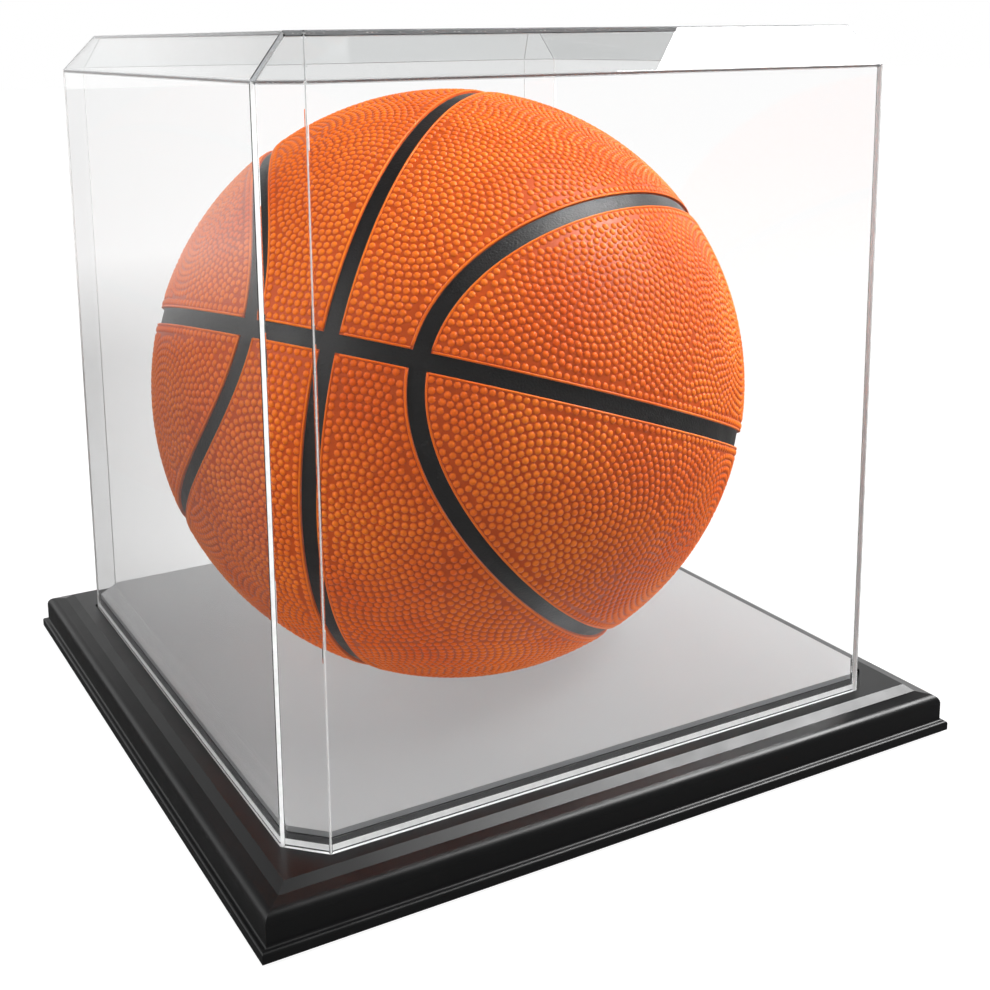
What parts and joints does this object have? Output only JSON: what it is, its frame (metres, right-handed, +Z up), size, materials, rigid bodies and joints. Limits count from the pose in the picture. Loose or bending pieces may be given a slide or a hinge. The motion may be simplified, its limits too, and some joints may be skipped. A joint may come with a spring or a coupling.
{
  "type": "basketball display case",
  "caption": "Display case with a clear lift-off acrylic cover on a black base with a mirrored floor and a round seat that holds a basketball.",
  "frame": {"origin": "middle of the square under the rubber feet, on the surface the case stands on", "axes": "+Z up, +X to the right and -Y towards the front of the case"},
  "size_m": [0.292, 0.292, 0.2801],
  "materials": {
    "black_lacquer": "satin lacquer",
    "riser_black": "satin",
    "tape": "matte",
    "silver_mirror": "polished",
    "foot_rubber": "matte",
    "clear_acrylic": "polished, clear",
    "orange_rubber": "pebbled satin",
    "black_rubber": "satin",
    "carcass_rubber": "matte",
    "butyl": "matte",
    "valve_rubber": "matte"
  },
  "bodies": {
    "base": {"base_board": "black_lacquer", "riser_board": "riser_black", "mirror_tape": "tape", "mirror_floor": "silver_mirror", "foot_front_left": "foot_rubber", "foot_front_right": "foot_rubber", "foot_back_left": "foot_rubber", "foot_back_right": "foot_rubber"},
    "cover": {"cover_top": "clear_acrylic", "cover_corner_front_right": "clear_acrylic", "cover_bevel_front_right": "clear_acrylic", "cover_wall_right": "clear_acrylic", "cover_bevel_right": "clear_acrylic", "cover_corner_back_right": "clear_acrylic", "cover_bevel_back_right": "clear_acrylic", "cover_wall_back": "clear_acrylic", "cover_bevel_back": "clear_acrylic", "cover_corner_back_left": "clear_acrylic", "cover_bevel_back_left": "clear_acrylic", "cover_wall_left": "clear_acrylic", "cover_bevel_left": "clear_acrylic", "cover_corner_front_left": "clear_acrylic", "cover_bevel_front_left": "clear_acrylic", "cover_wall_front": "clear_acrylic", "cover_bevel_front": "clear_acrylic"},
    "ball": {"ball_panel_middle_a_lower": "orange_rubber", "ball_panel_middle_a_upper": "orange_rubber", "ball_panel_middle_b_lower": "orange_rubber", "ball_panel_middle_b_upper": "orange_rubber", "ball_panel_side_a_lower": "orange_rubber", "ball_panel_side_a_upper": "orange_rubber", "ball_panel_side_b_lower": "orange_rubber", "ball_panel_side_b_upper": "orange_rubber", "ball_channels": "black_rubber", "ball_carcass": "carcass_rubber", "ball_bladder": "butyl", "ball_valve": "valve_rubber"}
  },
  "joints": [
    {"name": "cover_lift", "type": "slide", "parent": "base", "child": "cover", "axis": [0, 0, 1], "range_m": [0, 0.42]},
    {"name": "ball_lift", "type": "slide", "parent": "base", "child": "ball", "axis": [0, 0, 1], "range_m": [0, 0.147]}
  ],
  "couplings": [
    {"joint": "ball_lift", "follows": "cover_lift", "ratio": 0.35}
  ]
}
